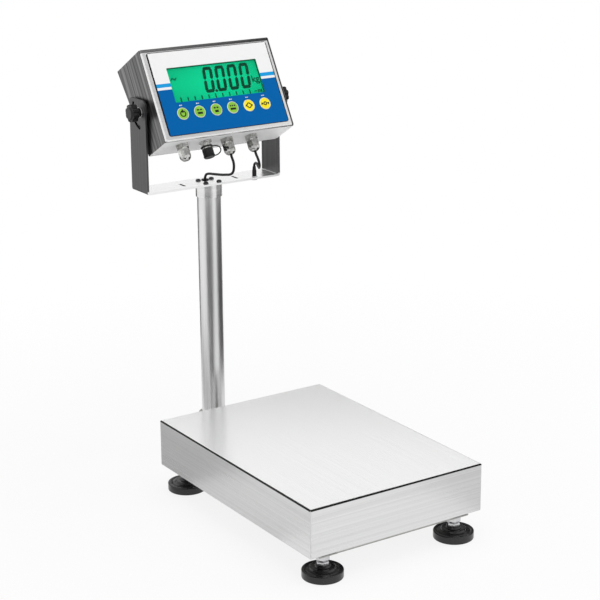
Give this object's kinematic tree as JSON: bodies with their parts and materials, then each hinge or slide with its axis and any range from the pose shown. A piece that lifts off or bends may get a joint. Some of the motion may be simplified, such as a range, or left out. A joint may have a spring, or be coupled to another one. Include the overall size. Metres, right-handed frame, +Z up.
{
  "type": "bench scale",
  "caption": "Bench scale with a folded sheet-steel weighing pan on levelling feet and a rear column carrying a tilting indicator with display and push keys.",
  "frame": {"origin": "on the floor under the middle of the object's box, without its cables", "axes": "+Z up, -Y to the front where the display faces, +X to the right seen from the front"},
  "size_m": [0.3, 0.5952, 0.6761],
  "materials": {
    "pan_steel": "fine brushed stainless sheet",
    "column_steel": "brushed stainless tube",
    "frame_steel": "brushed stainless tube and plate",
    "yoke_steel": "brushed stainless sheet, darker",
    "housing_steel": "brushed stainless sheet, vertical grain",
    "bezel_steel": "bright brushed stainless sheet",
    "bright_steel": "bright stainless fasteners",
    "gland_metal": "nickel-plated brass",
    "cell_aluminium": "clear anodised",
    "foot_rubber": "black moulded, glossy top",
    "black_rubber": "black, matt",
    "cable_black": "black cable sheath",
    "black_plastic": "black moulded plastic",
    "overlay_print": "printed polyester film",
    "window_clear": "clear window",
    "lcd_green": "green backlit liquid crystal display",
    "board_green": "circuit board",
    "key_green": "green key",
    "key_yellow": "yellow key"
  },
  "bodies": {
    "base": {"side_rail_left": "frame_steel", "side_rail_right": "frame_steel", "front_cross_rail": "frame_steel", "rear_cross_rail": "frame_steel", "cell_beam": "frame_steel", "foot_nuts": "bright_steel", "cell_spacers": "frame_steel", "load_cell": "cell_aluminium", "platform_bolts": "bright_steel", "top_spine": "frame_steel", "top_arm_front": "frame_steel", "top_arm_rear": "frame_steel", "pan_buffers": "black_rubber", "column_arm": "frame_steel", "column_socket": "frame_steel", "column_screws": "bright_steel", "column_tube": "column_steel", "column_collar": "column_steel", "yoke": "yoke_steel", "cable_grommet": "black_rubber", "cell_lead": "cable_black", "load_cell_cable": "cable_black", "power_socket": "bright_steel", "power_plug_body": "black_plastic", "power_cable": "cable_black"},
    "pan": {"pan": "pan_steel"},
    "foot_front_left": {"foot_pad_front_left": "foot_rubber", "foot_stud_front_left": "bright_steel"},
    "foot_front_right": {"foot_pad_front_right": "foot_rubber", "foot_stud_front_right": "bright_steel"},
    "foot_rear_left": {"foot_pad_rear_left": "foot_rubber", "foot_stud_rear_left": "bright_steel"},
    "foot_rear_right": {"foot_pad_rear_right": "foot_rubber", "foot_stud_rear_right": "bright_steel"},
    "indicator": {"housing": "housing_steel", "rear_cover": "housing_steel", "rear_screws": "bright_steel", "front_panel": "bezel_steel", "panel_gasket": "black_rubber", "overlay": "overlay_print", "display_lens": "window_clear", "lcd_panel": "lcd_green", "main_board": "board_green", "key_switches": "black_plastic", "battery": "black_plastic", "pivot_bushes": "bright_steel", "cable_glands": "gland_metal", "gland_nuts": "gland_metal", "data_socket": "gland_metal", "cap_tether": "black_rubber"},
    "key_1": {"key_1": "key_green"},
    "key_2": {"key_2": "key_green"},
    "key_3": {"key_3": "key_green"},
    "key_4": {"key_4": "key_green"},
    "key_5": {"key_5": "key_yellow"},
    "key_6": {"key_6": "key_yellow"},
    "knob_left": {"knob_left": "black_plastic"},
    "knob_right": {"knob_right": "black_plastic"},
    "data_cap": {"data_cap": "black_plastic"}
  },
  "joints": [
    {"name": "indicator_tilt", "type": "hinge", "parent": "base", "child": "indicator", "pos_m": [0, 0.2144, 0.5825], "axis": [1, 0, 0], "range_deg": [-15, 45], "deforming": ["load_cell_cable", "power_cable"]},
    {"name": "pan_lift", "type": "slide", "parent": "base", "child": "pan", "axis": [0, 0, 1], "range_m": [0, 0.1]},
    {"name": "foot_front_left_level", "type": "slide", "parent": "base", "child": "foot_front_left", "axis": [0, 0, 1], "range_m": [-0.012, 0]},
    {"name": "foot_front_right_level", "type": "slide", "parent": "base", "child": "foot_front_right", "axis": [0, 0, 1], "range_m": [-0.012, 0]},
    {"name": "foot_rear_left_level", "type": "slide", "parent": "base", "child": "foot_rear_left", "axis": [0, 0, 1], "range_m": [-0.012, 0]},
    {"name": "foot_rear_right_level", "type": "slide", "parent": "base", "child": "foot_rear_right", "axis": [0, 0, 1], "range_m": [-0.012, 0]},
    {"name": "key_1_press", "type": "slide", "parent": "indicator", "child": "key_1", "axis": [0, 0.866, -0.5], "range_m": [0, 0.0005], "stiffness_N_per_m": 800},
    {"name": "key_2_press", "type": "slide", "parent": "indicator", "child": "key_2", "axis": [0, 0.866, -0.5], "range_m": [0, 0.0005], "stiffness_N_per_m": 800},
    {"name": "key_3_press", "type": "slide", "parent": "indicator", "child": "key_3", "axis": [0, 0.866, -0.5], "range_m": [0, 0.0005], "stiffness_N_per_m": 800},
    {"name": "key_4_press", "type": "slide", "parent": "indicator", "child": "key_4", "axis": [0, 0.866, -0.5], "range_m": [0, 0.0005], "stiffness_N_per_m": 800},
    {"name": "key_5_press", "type": "slide", "parent": "indicator", "child": "key_5", "axis": [0, 0.866, -0.5], "range_m": [0, 0.0005], "stiffness_N_per_m": 800},
    {"name": "key_6_press", "type": "slide", "parent": "indicator", "child": "key_6", "axis": [0, 0.866, -0.5], "range_m": [0, 0.0005], "stiffness_N_per_m": 800},
    {"name": "knob_left_turn", "type": "hinge", "parent": "indicator", "child": "knob_left", "pos_m": [-0.13, 0.2144, 0.5825], "axis": [-1, 0, 0], "continuous": true},
    {"name": "knob_right_turn", "type": "hinge", "parent": "indicator", "child": "knob_right", "pos_m": [0.13, 0.2144, 0.5825], "axis": [1, 0, 0], "continuous": true},
    {"name": "data_cap_turn", "type": "hinge", "parent": "indicator", "child": "data_cap", "pos_m": [-0.035, 0.16141, 0.52072], "axis": [0, -0.5, -0.866], "continuous": true}
  ]
}
